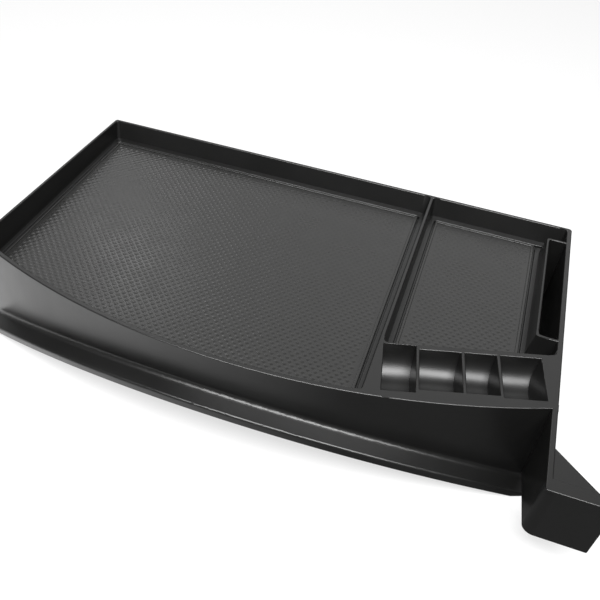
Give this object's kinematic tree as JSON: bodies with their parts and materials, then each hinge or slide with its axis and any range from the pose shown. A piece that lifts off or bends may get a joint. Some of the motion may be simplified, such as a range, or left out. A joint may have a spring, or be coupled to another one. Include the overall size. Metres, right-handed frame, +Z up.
{
  "type": "dashboard tray",
  "caption": "Bowed dashboard tray with large and small matted compartments, coin troughs, a deep side pocket, an arched front shelf and a side wing.",
  "frame": {"origin": "under the middle of the whole part's box, on the surface that it stands on", "axes": "+X along the tray's width, towards the pocket and wing; +Y to the back; +Z up, across the rim"},
  "size_m": [0.608, 0.349, 0.098],
  "materials": {
    "shell": "satin-gloss moulded black",
    "mat": "embossed satin black"
  },
  "bodies": {
    "root": {"tray": "shell", "mat_large": "mat", "mat_small": "mat"}
  },
  "joints": []
}
